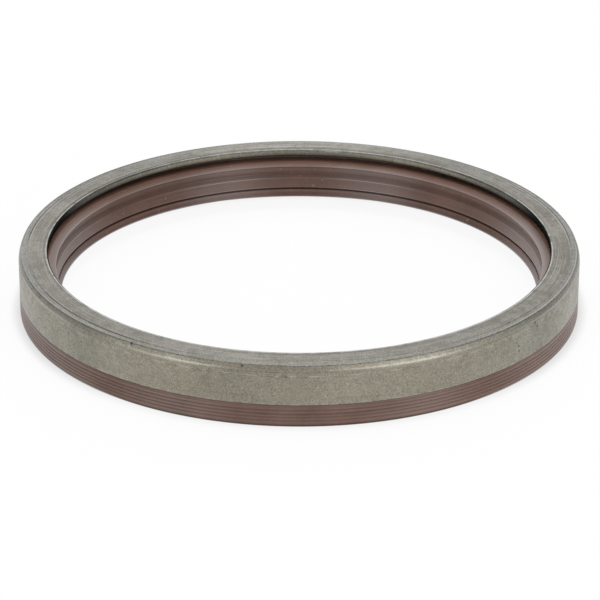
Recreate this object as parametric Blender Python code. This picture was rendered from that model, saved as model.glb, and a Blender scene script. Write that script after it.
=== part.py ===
"""Axle oil seal, lying on its oil side with its air side up.

A stamped steel case holds a moulded rubber ring. The rubber carries the dust lip, the main lip and the
ribbed band that seals in the hub, and it is moulded on a steel support ring. A garter spring sits in a
groove behind the main lip and presses it on the shaft.

Each piece is one section, drawn as radius and height, and turned about the Z axis. Lengths are metres,
angles are degrees. The origin is the centre of the face that the seal lies on.
"""
import math

import bmesh
import bpy

# Overall sizes
OUTSIDE_DIAMETER = 0.2000
RADIAL_SECTION = 0.0147      # from the outside in to the edge of the main lip
HEIGHT = 0.0227

# Steel case
CASE_SHEET = 0.0012
CASE_LOWER_EDGE = 0.0082     # the rubber band below it fills the rest of the outside
BEVEL_HEIGHT = 0.0021        # the wall's top leans in, so that the seal enters its bore
BEVEL_WIDTH = 0.0008
BEVEL_CORNER = 0.0004
RIM_WIDTH = 0.0030           # low rim round the pressed top face
RIM_STEP = 0.00012
FLANGE_WIDTH = 0.0104
HEM_LENGTH = 0.0038          # the flange's inner edge is folded back and pressed flat under itself
HEM_SLIT = 0.0001
HEM_CORNER = 0.0003
EDGE_BREAK = 0.0002

# Support ring inside the rubber
RING_SHEET = 0.0015
RING_LEG = 0.0062            # radial width of its upper leg
RING_BEND = 0.0020
RING_FOOT = 0.0021           # height of its lower end

# Moulded rubber round the support ring
COAT = 0.0012                # between the case's wall and the support ring
COVER = 0.0011               # over the support ring's upper leg
UNDERCOAT = 0.0006
UNDERCOAT_WIDTH = 0.0013
POCKET = 0.0023              # dust pocket between the hem and the rubber
HEM_CLEARANCE = 0.0009       # between the hem's end and the raised land that bears on the flange
LAND_FILLET = 0.0008
LAND_BREAK = 0.0003
FOOT_WRAP = 0.0002
FOOT_CUT_WIDTH = 0.0024      # sloping cut at the foot's inner edge
FOOT_CUT_HEIGHT = 0.0013
BASE_CORNER = 0.0011

# Ribs on the rubber band
RIB_START = 0.00205
RIB_PITCH = 0.00125
RIB_GROOVE = 0.0007
RIB_DEPTH = 0.00035
RIB_STRIP = 0.0005           # sloping strip between the ribs and the case

# Dust lip
DUST_LIP_GROWTH = 0.00145    # its radius is larger than the main lip's by this much
DUST_LIP_REACH = 0.00265
DUST_LIP_DROP = 0.0008
DUST_LIP_LAND = 0.0002
UNDERCUT_DEPTH = 0.0016
UNDERCUT_HEIGHT = 0.0034

# Collar between the lips
COLLAR_GROWTH = 0.0015
COLLAR_TAPER = 0.00032
COLLAR_LEDGE = 0.00135
COLLAR_FILLET = 0.0003
CREASE_WIDTH = 0.0006
CREASE_DEPTH = 0.0008

# Main lip
LIP_HEIGHT = 0.0055
LIP_AIR_FACE = 0.0024
LIP_AIR_ANGLE = 21.0
LIP_OIL_FACE = 0.0014
LIP_OIL_ANGLE = 68.5
NOSE_LIP = 0.0005            # rubber that holds the spring from below
SHOULDER_LIP = 0.0006        # rubber that holds it from above
MEMBRANE = 0.0019

# Garter spring
SPRING_COIL = 0.0028
SPRING_BED = 0.0017          # rubber between the lip's edge and the spring groove
SPRING_OFFSET = 0.0009       # the spring stands above the lip's edge by this much
SPRING_WRAP = 105.0          # the groove reaches round the spring by this angle each way

# Clearance between pieces that touch
BOND_GAP = 0.0003

# Facets
TURN_STEPS = 60
SPRING_SIDES = 8
ARC_STEP = 46.0

# Radii and heights that several pieces share
OUTER_R = OUTSIDE_DIAMETER / 2
LIP_R = OUTER_R - RADIAL_SECTION
CASE_INNER_R = OUTER_R - CASE_SHEET
FLANGE_BORE_R = OUTER_R - FLANGE_WIDTH
FLANGE_UNDER = HEIGHT - CASE_SHEET
HEM_TOP = FLANGE_UNDER - HEM_SLIT
HEM_UNDER = HEM_TOP - CASE_SHEET
COAT_R = CASE_INNER_R - BOND_GAP
RING_OUTER_R = COAT_R - COAT - BOND_GAP
RING_INNER_R = RING_OUTER_R - RING_SHEET
RING_BORE_R = RING_OUTER_R - RING_LEG
RUBBER_TOP = HEM_UNDER - POCKET
RING_TOP = RUBBER_TOP - COVER - BOND_GAP
RING_UNDER = RING_TOP - RING_SHEET
SPRING_R = LIP_R + SPRING_BED + BOND_GAP + SPRING_COIL / 2
SPRING_HEIGHT = LIP_HEIGHT + SPRING_OFFSET


def arc(centre, radius, start, end):
    """Points on an arc, as radius and height, with a point every ARC_STEP degrees or closer."""
    steps = max(1, math.ceil(abs(end - start) / ARC_STEP))
    angles = [math.radians(start + (end - start) * i / steps) for i in range(steps + 1)]
    return [(centre[0] + radius * math.cos(a), centre[1] + radius * math.sin(a)) for a in angles]


def fillet(before, corner, after, radius):
    """Rounds a corner of a section. The radius is limited by the two sides that meet there."""
    side_in = math.dist(before, corner)
    side_out = math.dist(corner, after)
    to_in = ((before[0] - corner[0]) / side_in, (before[1] - corner[1]) / side_in)
    to_out = ((after[0] - corner[0]) / side_out, (after[1] - corner[1]) / side_out)
    half = math.acos(to_in[0] * to_out[0] + to_in[1] * to_out[1]) / 2
    tangent = min(radius / math.tan(half), 0.49 * side_in, 0.49 * side_out)
    radius = tangent * math.tan(half)
    middle = (to_in[0] + to_out[0], to_in[1] + to_out[1])
    scale = radius / math.sin(half) / math.hypot(*middle)
    centre = (corner[0] + middle[0] * scale, corner[1] + middle[1] * scale)
    start = math.degrees(math.atan2(corner[1] + to_in[1] * tangent - centre[1],
                                    corner[0] + to_in[0] * tangent - centre[0]))
    end = math.degrees(math.atan2(corner[1] + to_out[1] * tangent - centre[1],
                                  corner[0] + to_out[0] * tangent - centre[0]))
    sweep = (end - start + 180.0) % 360.0 - 180.0
    return arc(centre, radius, start, start + sweep)


def section(corners):
    """Turns corners, as radius, height and an optional fillet radius, into the points of a section."""
    points = []
    for index, corner in enumerate(corners):
        if len(corner) == 2:
            points.append(corner)
            continue
        before = corners[index - 1]
        after = corners[(index + 1) % len(corners)]
        points.extend(fillet(before[:2], corner[:2], after[:2], corner[2]))
    return points


def case_section():
    """Wall, bevel, low rim, flange, and the hem where the sheet is folded back and pressed flat."""
    rim_top = HEIGHT - RIM_STEP
    fold_inner_r = FLANGE_BORE_R + CASE_SHEET
    hem_end = FLANGE_BORE_R + HEM_LENGTH
    return section([
        (CASE_INNER_R, CASE_LOWER_EDGE),
        (OUTER_R - EDGE_BREAK, CASE_LOWER_EDGE),
        (OUTER_R, CASE_LOWER_EDGE + EDGE_BREAK),
        (OUTER_R, rim_top - BEVEL_HEIGHT),
        (OUTER_R - BEVEL_WIDTH, rim_top, BEVEL_CORNER),
        (OUTER_R - RIM_WIDTH, rim_top),
        (OUTER_R - RIM_WIDTH - RIM_STEP, HEIGHT),
        (FLANGE_BORE_R, HEIGHT, HEM_CORNER),
        (FLANGE_BORE_R, HEM_UNDER, HEM_CORNER),
        (hem_end, HEM_UNDER),
        (hem_end, HEM_TOP),
        (fold_inner_r, HEM_TOP),
        (fold_inner_r, FLANGE_UNDER),
        (CASE_INNER_R, FLANGE_UNDER),
    ])


def ring_section():
    """Plain angle section, with its bend at the top outside."""
    return section([
        (RING_INNER_R, RING_FOOT),
        (RING_OUTER_R, RING_FOOT),
        (RING_OUTER_R, RING_TOP, RING_BEND),
        (RING_BORE_R, RING_TOP),
        (RING_BORE_R, RING_UNDER),
        (RING_INNER_R, RING_UNDER, RING_BEND - RING_SHEET),
    ])


def ribbed_band(top):
    """Outside of the rubber band, from its lower corner up to the case."""
    corners = [(OUTER_R, 0.0, BASE_CORNER)]
    ribs = int((top - RIB_STRIP - RIB_START) / RIB_PITCH)
    for rib in range(ribs):
        start = RIB_START + rib * RIB_PITCH
        corners.append((OUTER_R, start))
        corners.append((OUTER_R - RIB_DEPTH, start + RIB_GROOVE / 2))
        corners.append((OUTER_R, start + RIB_GROOVE))
    corners.append((OUTER_R, top - RIB_STRIP))
    corners.append((OUTER_R - RIB_DEPTH, top))
    return corners


def dust_lip():
    """Sloping lip that points at the shaft on the air side, down to the root of its undercut."""
    tip_r = LIP_R + DUST_LIP_GROWTH
    tip_top = RUBBER_TOP - DUST_LIP_DROP
    tip_under = tip_top - DUST_LIP_LAND
    return [
        (tip_r + DUST_LIP_REACH, RUBBER_TOP),
        (tip_r, tip_top),
        (tip_r, tip_under),
        (tip_r + UNDERCUT_DEPTH, tip_under - UNDERCUT_HEIGHT),
    ]


def main_lip(root_height):
    """Collar, crease, the lip's air and oil faces, its nose, the spring groove and the membrane."""
    collar_r = LIP_R + COLLAR_GROWTH
    collar_low_r = collar_r - COLLAR_TAPER
    collar_top = root_height - COLLAR_LEDGE
    crease_top = LIP_HEIGHT + LIP_AIR_FACE + CREASE_WIDTH
    air_face_r = LIP_R + LIP_AIR_FACE * math.tan(math.radians(LIP_AIR_ANGLE))
    nose_under = LIP_HEIGHT - LIP_OIL_FACE
    oil_face_r = LIP_R + LIP_OIL_FACE * math.tan(math.radians(LIP_OIL_ANGLE))
    groove_radius = SPRING_COIL / 2 + BOND_GAP
    groove = arc((SPRING_R, SPRING_HEIGHT), groove_radius, 180.0 + SPRING_WRAP, 180.0 - SPRING_WRAP)
    low_end_r, low_end = groove[0]
    top_end_r, top_end = groove[-1]
    inside = [
        (collar_r, collar_top, COLLAR_FILLET),
        (collar_low_r, crease_top),
        (collar_low_r + CREASE_DEPTH, crease_top),
        (air_face_r + CREASE_DEPTH, LIP_HEIGHT + LIP_AIR_FACE),
        (air_face_r, LIP_HEIGHT + LIP_AIR_FACE),
        (LIP_R, LIP_HEIGHT),
        (oil_face_r, nose_under),
        (low_end_r + NOSE_LIP / 2, low_end - NOSE_LIP),
    ]
    outside = [
        (top_end_r + SHOULDER_LIP / 2, top_end + SHOULDER_LIP),
        (collar_low_r + MEMBRANE, top_end + 2 * SHOULDER_LIP + NOSE_LIP),
        (collar_r + MEMBRANE, collar_top),
    ]
    return inside + groove + outside


def rubber_section():
    """The whole moulding, from its foot round the outside, over the top, and down to both lips."""
    top = CASE_LOWER_EDGE - BOND_GAP
    land_top = FLANGE_UNDER - BOND_GAP
    land_inner_r = FLANGE_BORE_R + HEM_LENGTH + HEM_CLEARANCE
    foot_r = RING_INNER_R - FOOT_WRAP
    slot_outer_r = RING_OUTER_R + BOND_GAP
    slot_bore_r = RING_BORE_R - BOND_GAP
    slot_top = RING_TOP + BOND_GAP
    slot_under = RING_UNDER - BOND_GAP
    coat_end_r = RING_BORE_R + UNDERCOAT_WIDTH
    lip = dust_lip()
    return section(
        [(foot_r + FOOT_CUT_WIDTH, 0.0)]
        + ribbed_band(top)
        + [
            (COAT_R, top),
            (COAT_R, land_top - LAND_BREAK),
            (COAT_R - LAND_BREAK, land_top),
            (land_inner_r, land_top),
            (land_inner_r, RUBBER_TOP, LAND_FILLET),
        ]
        + lip
        + main_lip(lip[-1][1])
        + [
            (slot_bore_r, slot_under - UNDERCOAT),
            (coat_end_r, slot_under - UNDERCOAT),
            (coat_end_r, slot_under),
            (slot_bore_r, slot_under),
            (slot_bore_r, slot_top),
            (slot_outer_r, slot_top, RING_BEND + BOND_GAP),
            (slot_outer_r, RING_FOOT - BOND_GAP),
            (foot_r, RING_FOOT - BOND_GAP),
            (foot_r, FOOT_CUT_HEIGHT),
        ]
    )


def spring_section():
    """The coil's outside, as a round bar."""
    step = 360.0 / SPRING_SIDES
    angles = [math.radians(step * side) for side in range(SPRING_SIDES)]
    radius = SPRING_COIL / 2
    return [(SPRING_R + radius * math.cos(a), SPRING_HEIGHT + radius * math.sin(a)) for a in angles]


def material(name, colour, metallic, roughness):
    """A plain Principled material."""
    made = bpy.data.materials.new(name)
    made.use_nodes = True
    shader = made.node_tree.nodes["Principled BSDF"]
    shader.inputs["Base Color"].default_value = (*colour, 1.0)
    shader.inputs["Metallic"].default_value = metallic
    shader.inputs["Roughness"].default_value = roughness
    made.diffuse_color = (*colour, 1.0)
    return made


def turned(name, points, finish):
    """Turns a closed section about the Z axis into a ring."""
    bm = bmesh.new()
    verts = [bm.verts.new((r, 0.0, z)) for r, z in points]
    edges = [bm.edges.new((verts[i - 1], verts[i])) for i in range(len(verts))]
    bmesh.ops.spin(bm, geom=verts + edges, cent=(0, 0, 0), axis=(0, 0, 1), angle=math.tau,
                   steps=TURN_STEPS, use_merge=True)
    bmesh.ops.recalc_face_normals(bm, faces=bm.faces)
    mesh = bpy.data.meshes.new(name)
    bm.to_mesh(mesh)
    bm.free()
    mesh.shade_smooth()
    mesh.set_sharp_from_angle(angle=math.radians(30.0))
    mesh.materials.append(finish)
    made = bpy.data.objects.new(name, mesh)
    bpy.context.collection.objects.link(made)
    return made


def main():
    for old in list(bpy.data.objects):
        bpy.data.objects.remove(old)
    case_steel = material("case_steel", (0.42, 0.41, 0.37), 1.0, 0.45)
    ring_steel = material("ring_steel", (0.33, 0.33, 0.32), 1.0, 0.50)
    rubber = material("brown_rubber", (0.135, 0.085, 0.070), 0.0, 0.42)
    spring_steel = material("spring_steel", (0.50, 0.50, 0.50), 1.0, 0.35)
    turned("steel_case", case_section(), case_steel)
    turned("support_ring", ring_section(), ring_steel)
    turned("rubber_seal", rubber_section(), rubber)
    turned("garter_spring", spring_section(), spring_steel)


main()
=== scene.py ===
"""Looks of an axle oil seal: worn steel case, moulded brown rubber, support ring and garter spring.

Run as a script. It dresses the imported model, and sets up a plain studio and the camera.
Lengths are metres and angles are radians, unless a name says otherwise.
"""
import math
from functools import reduce
from types import SimpleNamespace

import bmesh
import bpy
from bpy.props import FloatProperty, FloatVectorProperty, IntProperty, PointerProperty
from mathutils import Matrix, Vector, noise


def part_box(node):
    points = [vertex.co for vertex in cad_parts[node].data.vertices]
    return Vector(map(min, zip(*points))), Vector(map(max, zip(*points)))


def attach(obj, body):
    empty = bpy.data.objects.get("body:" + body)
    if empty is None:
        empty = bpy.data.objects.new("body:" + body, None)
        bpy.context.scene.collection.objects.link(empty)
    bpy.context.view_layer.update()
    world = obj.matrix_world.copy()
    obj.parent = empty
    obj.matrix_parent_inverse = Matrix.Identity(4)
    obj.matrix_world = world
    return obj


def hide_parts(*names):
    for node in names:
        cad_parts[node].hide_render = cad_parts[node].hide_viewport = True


bl_info = {
    "name": "Axle Oil Seal",
    "version": (1, 0, 0),
    "blender": (4, 5, 0),
    "location": "View3D > Sidebar > Oil Seal",
    "description": "Models a rotary shaft seal and its studio",
    "category": "Object",
}

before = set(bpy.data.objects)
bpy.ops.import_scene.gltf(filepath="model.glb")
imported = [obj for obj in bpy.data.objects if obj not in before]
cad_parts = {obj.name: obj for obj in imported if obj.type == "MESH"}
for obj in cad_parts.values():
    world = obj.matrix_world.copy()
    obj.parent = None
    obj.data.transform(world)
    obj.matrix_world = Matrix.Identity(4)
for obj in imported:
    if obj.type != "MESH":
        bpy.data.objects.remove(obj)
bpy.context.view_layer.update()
CASE_LOW, CASE_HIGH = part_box("steel_case")
RING_LOW, RING_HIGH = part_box("support_ring")
SPRING_LOW, SPRING_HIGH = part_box("garter_spring")

# Facets of the spring's groove, its wire and a turn of its coil, and the ruffle's waves to a metre of height
GROOVE_STEPS = 14
WIRE_SEGMENTS = 5
COIL_STEPS = 10
RUFFLE_RISE = 60.0

# Dark nicks on the case: direction in degrees, height in millimetres and size in millimetres
NICKS = (
    (-154.0, 21.7, 0.5), (-150.7, 12.7, 0.6), (-145.7, 15.0, 0.5), (-141.7, 16.8, 0.4), (-137.5, 16.0, 0.6),
    (-124.3, 22.4, 0.8), (-100.8, 21.7, 0.9), (-92.4, 18.7, 0.4), (-36.4, 19.7, 0.6), (-35.6, 17.8, 0.5),
    (-41.7, 14.3, 0.7), (-41.6, 12.4, 0.7),
)

# Painted light and shade on the rubber inside the lips, dark in the crease, at the root and under the dust
# lip, and light on the edges: height in millimetres and share of the lightest shade
PAINTED_LIP_SHADES = (
    (5.5, 0.60), (5.8, 0.62), (6.2, 0.56), (6.6, 0.58), (7.0, 0.69), (7.4, 0.85), (7.8, 0.58), (7.95, 0.25),
    (8.40, 0.25), (8.52, 0.82), (9.5, 0.76), (12.0, 0.70), (12.8, 0.70), (13.2, 0.67), (13.5, 0.60),
    (13.9, 0.66), (15.5, 0.72), (16.3, 0.66), (16.70, 0.40), (16.88, 0.40), (17.0, 1.00), (17.3, 0.96),
    (17.7, 0.97), (17.86, 0.88),
)
LIGHTEST_SHADE = 1.25

# Painted shade on the folded edge, near black at its lower corner and lighter upwards: height in millimetres
# and share
PAINTED_HEM_SHADES = (
    (20.2, 0.04), (20.4, 0.07), (20.7, 0.20), (21.1, 0.40), (21.6, 0.60), (22.2, 0.70), (22.62, 0.74),
    (22.7, 1.0),
)

# Gloss of the rubber outside and inside: how far a patch lies from the middle of the front or back, where
# the sides' gloss starts and is full, all in degrees, and the strength of the sides' gloss
OUTER_GLOSS = (25.0, 34.0, 60.0, 1.25)
INNER_GLOSS = (19.0, 52.0, 72.0, 1.08)
GLOSS_REACH = 17.0

# Patches round the case: direction and half width in degrees, and share. They are painted highlights with
# rubs along the bevel's foot, darker places of the wall, an arc scraped on the top face and dirt in the rim's
# step
BEVEL_RUBS_AND_HIGHLIGHTS = ((-114.0, 16.0, 0.42), (-66.0, 18.0, 0.42), (-152.0, 18.0, 0.28), (-26.0, 18.0, 0.26))
DARK_WALL_PATCHES = ((-102.5, 11.0, 0.15), (-136.0, 9.0, 0.13), (-32.0, 8.0, 0.13))
ARC_PLACES = ((93.0, 11.0, 1.0),)
STEP_DIRT = ((-139.0, 20.0, 1.0),)

# Tints that a colour is multiplied by
NO_TINT = (1.0, 1.0, 1.0)
# Painted sheen: the wall's sides are made lighter and bluer
WALL_SIDE_SHEEN_TINT = (1.02, 1.055, 1.11)
# Painted sheen: the rim's sides are made lighter and bluer
RIM_SIDE_SHEEN_TINT = (1.05, 1.06, 1.10)
INSIDE_TINT = (0.97, 0.87, 0.83)
# Painted light that lifts the rubber's ledge under the fold, warmer at the back than at the sides
LEDGE_LIGHT_TINT = (1.80, 1.55, 1.35)
LEDGE_SIDE_LIGHT_TINT = (1.66, 1.60, 1.42)

WHITE = (1.0, 1.0, 1.0, 1.0)

# Low windows behind the camera, left and right: direction in degrees and brightness
WINDOWS = ((-154.0, 1.3), (-132.0, 1.7), (-62.0, 1.6), (-41.0, 2.4), (-20.0, 0.9))
WINDOW_RISE = math.radians(9.0)
WINDOW_CORE = math.radians(5.0)
WINDOW_EDGE = math.radians(13.0)


def length(name, description, default):
    """A length property in metres."""
    return FloatProperty(name=name, description=description, default=default, unit="LENGTH", precision=5)


def angle(name, description, default):
    """An angle property, given in degrees."""
    return FloatProperty(name=name, description=description, default=math.radians(default), subtype="ANGLE")


def number(name, description, default):
    """A plain number property."""
    return FloatProperty(name=name, description=description, default=default)


def colour(name, description, default):
    """A linear colour property."""
    return FloatVectorProperty(name=name, description=description, default=default, subtype="COLOR",
                               size=3, min=0.0, max=1.0)


class SealSizes(bpy.types.PropertyGroup):
    """Sizes of the seal's pieces."""
    outside_r: length("Outside radius", "Radius of the case's wall", CASE_HIGH.x)
    top: length("Top", "Height of the flange's face", CASE_HIGH.z)
    case_foot: length("Case foot", "Height of the case's lower edge", CASE_LOW.z)
    case_sheet: length("Case sheet", "Thickness of the case's sheet", 0.0012)
    bevel_height: length("Bevel height", "Height of the wall's leaning top", 0.0021)
    bevel_width: length("Bevel width", "How far the wall's top leans in", 0.0008)
    bevel_corner: length("Bevel corner", "Rounding between the bevel and the rim", 0.0004)
    bevel_foot: length("Bevel foot", "Rounding between the wall and the bevel", 0.0030)
    rim_width: length("Rim width", "Width of the low rim", 0.0030)
    rim_step: length("Rim step", "Depth of the low rim", 0.00012)
    rim_slope: length("Rim slope", "Width of the step inside the rim", 0.0004)
    flange_width: length("Flange width", "From the outside to the folded edge", 0.0104)
    hem_length: length("Hem length", "Length of the folded edge", 0.0038)
    hem_slit: length("Hem slit", "Gap inside the folded edge", 0.0001)
    hem_corner: length("Hem corner", "Rounding of the folded edge", 0.0003)
    wall_line: length("Wall line", "Height of the fine rubbed line", 0.01885)
    wall_line_soil: length("Wall line dirt", "How far below that line its dirt lies", 0.00023)
    arc_r: length("Arc", "Radius of the arc scraped on top", 0.0930)
    sheet_edge: length("Sheet edge", "Rounding of the sheet's cut edges", 0.0002)
    ring_sheet: length("Ring sheet", "Thickness of the support ring", 0.0015)
    ring_leg: length("Ring leg", "Width of the ring's upper leg", 0.0062)
    ring_bend: length("Ring bend", "Outer radius of the ring's bend", 0.0020)
    ring_edge: length("Ring edge", "Rounding of the ring's cut edges", 0.00015)
    touch: length("Touch", "Gap between pieces that touch", 0.00001)
    pocket: length("Dust pocket", "Gap between the fold and the rubber", 0.0023)
    hem_clearance: length("Hem clearance", "From the fold's end to the rubber land", 0.0009)
    land_fillet: length("Land fillet", "Hollow at the rubber land's foot", 0.0008)
    undercoat: length("Undercoat", "Rubber under the ring's edge", 0.0008)
    undercoat_width: length("Undercoat width", "How far that rubber reaches", 0.0016)
    foot_wrap: length("Foot wrap", "Rubber inside the ring's foot", 0.0002)
    foot_cut_width: length("Foot cut width", "Width of the cut inside the foot", 0.0024)
    foot_cut_height: length("Foot cut height", "Height of the cut inside the foot", 0.0013)
    base_corner: length("Base corner", "Rounding of the rubber's lower edge", 0.0011)
    rib_start: length("Rib start", "Height of the lowest rib groove", 0.00205)
    rib_pitch: length("Rib pitch", "Height from one rib to the next", 0.00125)
    rib_groove: length("Rib groove", "Width of a rib groove", 0.0007)
    rib_depth: length("Rib depth", "Depth of a rib groove", 0.00035)
    rib_strip: length("Rib strip", "Height of the strip below the case", 0.0005)
    rib_count: IntProperty(name="Ribs", description="Number of rib grooves", default=4, min=0)
    lip_section: length("Lip section", "From the outside to the main lip's edge", 0.0147)
    lip_height: length("Lip height", "Height of the main lip's edge", 0.0055)
    lip_air_face: length("Air face", "Height of the face on the air side", 0.0024)
    lip_air_angle: angle("Air angle", "Slope of the face on the air side", 21.0)
    lip_oil_face: length("Oil face", "Height of the face on the oil side", 0.0014)
    lip_oil_angle: angle("Oil angle", "Slope of the face on the oil side", 68.5)
    dust_growth: length("Dust lip growth", "How much larger the dust lip's radius is", 0.00145)
    dust_reach: length("Dust lip reach", "Width of the dust lip's slope", 0.00265)
    dust_drop: length("Dust lip drop", "How far the dust lip's slope falls", 0.0008)
    dust_land: length("Dust lip land", "Thickness of the dust lip's edge", 0.0002)
    undercut_depth: length("Undercut depth", "Depth of the hollow under the dust lip", 0.0016)
    undercut_height: length("Undercut height", "Height of the hollow under the dust lip", 0.0034)
    collar_growth: length("Collar growth", "How much larger the collar's radius is", 0.0015)
    collar_taper: length("Collar taper", "How far the collar narrows downwards", 0.00032)
    collar_ledge: length("Collar ledge", "Fall of the ledge above the collar", 0.00135)
    crease_width: length("Crease width", "Height of the crease above the lip", 0.0006)
    crease_depth: length("Crease depth", "Depth of the crease above the lip", 0.0008)
    nose_lip: length("Nose", "Rubber below the spring", 0.0005)
    shoulder_lip: length("Shoulder", "Rubber above the spring", 0.0006)
    membrane: length("Membrane", "Rubber behind the collar", 0.0019)
    coil: length("Coil", "Outside size of the spring's coil", SPRING_HIGH.z - SPRING_LOW.z)
    wire: length("Wire", "Thickness of the spring's wire", 0.00045)
    wrap: angle("Spring wrap", "How far the groove reaches round the spring each way", 105.0)
    around: IntProperty(name="Steps around", description="Facets round each ring", default=450, min=24)


class SealColours(bpy.types.PropertyGroup):
    """Colours of the seal's finishes."""
    wall_light: colour("Light wall", "Olive wall where it is rubbed", (0.312, 0.289, 0.232))
    wall_dark: colour("Dark wall", "Olive wall where it is dull", (0.252, 0.230, 0.179))
    face_light: colour("Light face", "Grey top face where it is rubbed", (0.345, 0.332, 0.296))
    face_dark: colour("Dark face", "Grey top face where it is dull", (0.225, 0.214, 0.180))
    rim_grey: colour("Rim", "Smoother steel of the low rim", (0.305, 0.300, 0.274))
    # Also the colour of the painted highlights on the bevel, the fold's edge, the step and the rim
    steel_rub_and_highlight: colour("Rub", "Steel rubbed bright", (0.54, 0.55, 0.53))
    # Also the colour of the painted shade in the rim's step and under the bevel
    steel_soil_and_shade: colour("Soil", "Dirt in creases and nicks", (0.040, 0.034, 0.026))
    rubber_light: colour("Light rubber", "Rubbed rubber", (0.171, 0.106, 0.086))
    rubber_dark: colour("Dark rubber", "Fresh moulded rubber", (0.110, 0.066, 0.053))
    # Also the colour of the painted highlights on the edges inside
    rubber_bloom_and_highlights: colour("Bloom", "Pale specks of bloom", (0.36, 0.32, 0.31))
    # Painted shade at the rubber's foot
    rubber_foot_shade: colour("Damp", "Cool shade at the rubber's foot", (0.150, 0.160, 0.170))
    floor_light: colour("Floor light", "Light between the foot and the floor", (0.40, 0.42, 0.44))
    # Painted highlight on the lip's edge at the sides
    lip_highlight: colour("Lip fringe", "Pale edge of the lip at the sides", (0.42, 0.44, 0.47))
    ring_grey: colour("Ring grey", "Phosphated support ring", (0.20, 0.20, 0.195))
    wire_grey: colour("Wire grey", "Drawn spring wire", (0.48, 0.48, 0.47))


class StudioSettings(bpy.types.PropertyGroup):
    """Camera and lights, fitted to the photograph's outlines."""
    tilt: angle("Camera tilt", "Angle of the view below the horizon", 24.69)
    roll: angle("Camera roll", "Turn of the picture", math.degrees(0.00193))
    distance: length("Camera distance", "From the camera to the seal's base", 1.1524)
    slide: length("Camera slide", "How far the camera stands to the right", 0.000331)
    lift: length("Camera lift", "How far the camera stands up the picture", 0.000612)
    lens: number("Lens", "Focal length in millimetres", 192.0)
    floor_shade: number("Floor shade", "Share of light the floor throws back", 0.08)
    floor_glow: number("Floor glow", "Light that comes through the floor", 0.915)
    # A painted contact shadow: how much, where and how wide the floor's glow is dimmed round the seal
    floor_shadow: number("Floor dip", "Share of the glow lost near the seal", 0.26)
    shadow_r: length("Dip radius", "Radius at which the floor is dimmest", 0.0990)
    shadow_reach: length("Dip reach", "How far the dimmer floor reaches each way", 0.0055)
    room: number("Room", "Brightness of the room", 0.55)
    backdrop: number("Backdrop", "Extra brightness behind the seal", 0.50)
    ceiling: number("Ceiling", "Extra brightness above the seal", 0.45)
    front: number("Front", "Extra brightness low behind the camera", 0.35)
    window: number("Window", "Extra brightness of the low windows", 1.0)
    side_power: number("Side light", "Watts of the light over the camera's right", 1.2)
    top_power: number("Top light", "Watts of the light above", 2.0)


def plain_corner(radius, height):
    """A corner of a section that stays sharp."""
    return (radius, height, 0.0, 0)


def round_corner(radius, height, rounding, segments=6):
    """A corner of a section that gets rounded."""
    return (radius, height, rounding, segments)


def case_corners(s):
    """Wall, bevel, low rim, flange and folded edge of the steel case."""
    rim_top = s.top - s.rim_step
    under = s.top - s.case_sheet
    hem_top = under - s.hem_slit
    hem_under = hem_top - s.case_sheet
    bore = s.outside_r - s.flange_width
    inner = s.outside_r - s.case_sheet
    rim_inner = s.outside_r - s.rim_width
    return [
        round_corner(inner, s.case_foot, s.sheet_edge, 3),
        round_corner(s.outside_r, s.case_foot, s.sheet_edge, 3),
        round_corner(s.outside_r, rim_top - s.bevel_height, s.bevel_foot, 6),
        round_corner(s.outside_r - s.bevel_width, rim_top, s.bevel_corner, 7),
        round_corner(rim_inner + s.rim_slope / 2, rim_top, s.rim_slope, 3),
        round_corner(rim_inner - s.rim_slope / 2, s.top, s.rim_slope, 3),
        round_corner(bore, s.top, s.hem_corner, 6),
        round_corner(bore, hem_under, s.hem_corner, 6),
        round_corner(bore + s.hem_length, hem_under, s.sheet_edge, 3),
        round_corner(bore + s.hem_length, hem_top, s.sheet_edge, 3),
        plain_corner(bore + s.case_sheet, hem_top),
        plain_corner(bore + s.case_sheet, under),
        round_corner(inner, under, s.sheet_edge, 3),
    ]


def ring_corners(s):
    """Angle section of the support ring."""
    inner = RING_HIGH.x - s.ring_sheet
    bore = RING_HIGH.x - s.ring_leg
    under = RING_HIGH.z - s.ring_sheet
    return [
        round_corner(inner, RING_LOW.z, s.ring_edge, 2),
        round_corner(RING_HIGH.x, RING_LOW.z, s.ring_edge, 2),
        round_corner(RING_HIGH.x, RING_HIGH.z, s.ring_bend, 8),
        round_corner(bore, RING_HIGH.z, s.ring_edge, 2),
        round_corner(bore, under, s.ring_edge, 2),
        round_corner(inner, under, s.ring_bend - s.ring_sheet, 5),
    ]


def band_corners(s, top):
    """Ribbed outside of the rubber, from its lower corner up to the case."""
    corners = [round_corner(s.outside_r, 0.0, s.base_corner, 7)]
    for rib in range(s.rib_count):
        start = s.rib_start + rib * s.rib_pitch
        corners.append(round_corner(s.outside_r, start, 0.0005, 3))
        corners.append(round_corner(s.outside_r - s.rib_depth, start + s.rib_groove / 2, 0.00025, 3))
        corners.append(round_corner(s.outside_r, start + s.rib_groove, 0.0005, 3))
    corners.append(round_corner(s.outside_r, top - s.rib_strip, 0.0005, 3))
    corners.append(round_corner(s.outside_r - s.rib_depth, top, 0.0001, 2))
    return corners


def spring_centre(s):
    """Radius and height of the garter spring's coil."""
    return SPRING_HIGH.x - s.coil / 2, (SPRING_LOW.z + SPRING_HIGH.z) / 2


def lip_levels(s):
    """Heights of the rubber's top, the dust lip, its undercut, the collar, the crease and the lip's face."""
    top = s.top - s.case_sheet - s.hem_slit - s.case_sheet - s.pocket
    tip_top = top - s.dust_drop
    tip_under = tip_top - s.dust_land
    root = tip_under - s.undercut_height
    air_top = s.lip_height + s.lip_air_face
    return SimpleNamespace(top=top, tip_top=tip_top, tip_under=tip_under, root=root,
                           collar_top=root - s.collar_ledge, crease_top=air_top + s.crease_width,
                           air_top=air_top)


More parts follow.
